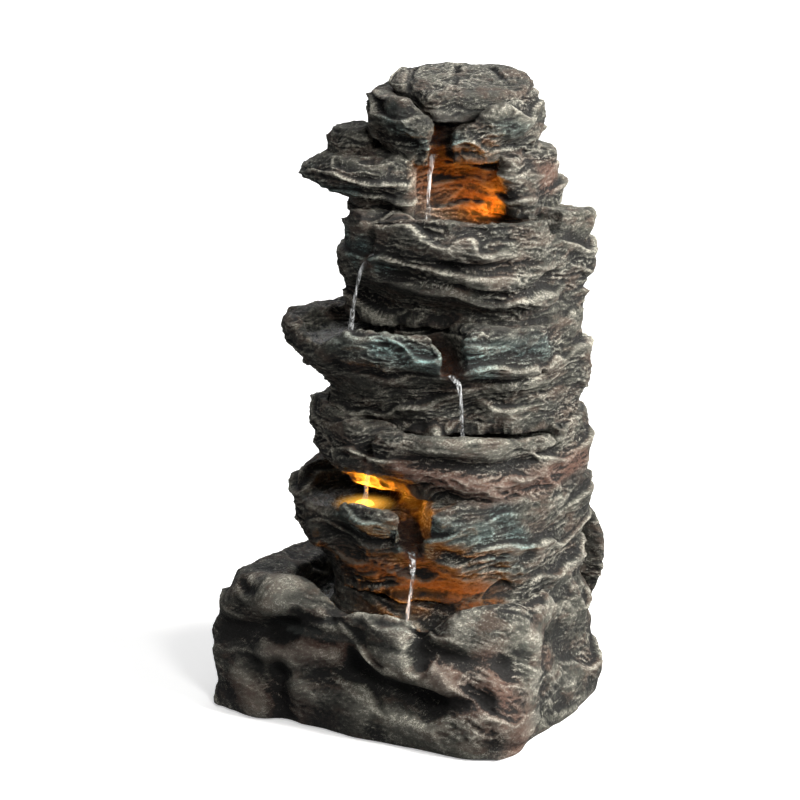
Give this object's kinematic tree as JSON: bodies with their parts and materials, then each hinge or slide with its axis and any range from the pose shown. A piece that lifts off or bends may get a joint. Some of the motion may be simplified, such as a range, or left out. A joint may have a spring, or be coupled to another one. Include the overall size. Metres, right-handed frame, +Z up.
{
  "type": "tabletop rock cascade water fountain",
  "caption": "Tabletop fountain of stacked cast-rock basins: a pump in the base lifts water to the head stone and it falls from pool to pool past amber lights.",
  "frame": {"origin": "on the table, under the middle of the fountain's footprint", "axes": "+Z up, -Y out of the front, +X to the right as seen from the front; row units are metres"},
  "size_m": [0.2442, 0.1913, 0.46],
  "materials": {
    "cast_rock": "cast resin and stone powder, layered and chiselled, charcoal with pale dry-brushed ridges",
    "pump_plastic": "moulded, fine satin",
    "grey_plastic": "moulded, satin",
    "black_rubber": "soft, matt",
    "sponge": "open-cell foam",
    "magnet": "coated ferrite, satin",
    "shaft_ceramic": "ground",
    "clear_tube": "clear flexible tube, slightly clouded",
    "led_board": "white solder mask, satin",
    "amber_lens": "clear amber, polished",
    "cable_jacket": "smooth, satin"
  },
  "bodies": {
    "fountain": {"base_basin": "cast_rock", "tier_4_basin": "cast_rock", "tier_3_basin": "cast_rock", "tier_2_basin": "cast_rock", "tier_1_basin": "cast_rock", "neck_rock": "cast_rock", "ledge_stone": "cast_rock", "head_stone": "cast_rock", "cap_slab": "cast_rock", "rubber_foot_1": "black_rubber", "suction_cup_1": "black_rubber", "rubber_foot_2": "black_rubber", "suction_cup_2": "black_rubber", "rubber_foot_3": "black_rubber", "suction_cup_3": "black_rubber", "rubber_foot_4": "black_rubber", "suction_cup_4": "black_rubber", "pump_housing": "pump_plastic", "pump_cover": "pump_plastic", "impeller_shaft": "shaft_ceramic", "shaft_bush_front": "black_rubber", "shaft_bush_rear": "black_rubber", "outlet_adapter": "grey_plastic", "riser_tube": "clear_tube", "tube_grommet": "black_rubber", "spring_nozzle": "grey_plastic", "lead_joiner": "pump_plastic", "joiner_clip": "pump_plastic", "cord_gland": "black_rubber", "led_housing_tier_1": "pump_plastic", "led_board_tier_1": "led_board", "led_lens_tier_1": "amber_lens", "led_housing_tier_4": "pump_plastic", "led_board_tier_4": "led_board", "led_lens_tier_4": "amber_lens", "led_housing_base": "pump_plastic", "led_board_base": "led_board", "led_lens_base": "amber_lens", "tier_1_lead": "cable_jacket", "tier_4_lead": "cable_jacket", "base_lead": "cable_jacket", "pump_lead": "cable_jacket", "supply_lead": "cable_jacket"},
    "rear_cover": {"rear_cover": "cast_rock"},
    "intake": {"intake_grille": "pump_plastic", "filter_sponge": "sponge"},
    "flow_lever": {"flow_lever": "grey_plastic"},
    "impeller": {"impeller": "grey_plastic", "rotor_magnet": "magnet"}
  },
  "joints": [
    {"name": "rear_cover_off", "type": "slide", "parent": "fountain", "child": "rear_cover", "axis": [0, 1, 0], "range_m": [0, 0.06]},
    {"name": "intake_grille_off", "type": "slide", "parent": "fountain", "child": "intake", "axis": [-1, 0, 0], "range_m": [0, 0.03]},
    {"name": "flow_lever_turn", "type": "hinge", "parent": "intake", "child": "flow_lever", "pos_m": [0.025, 0.038, 0.031], "axis": [1, 0, 0], "range_deg": [-70, 70]},
    {"name": "impeller_spin", "type": "hinge", "parent": "fountain", "child": "impeller", "pos_m": [0.045, 0.038, 0.031], "axis": [1, 0, 0], "continuous": true}
  ]
}
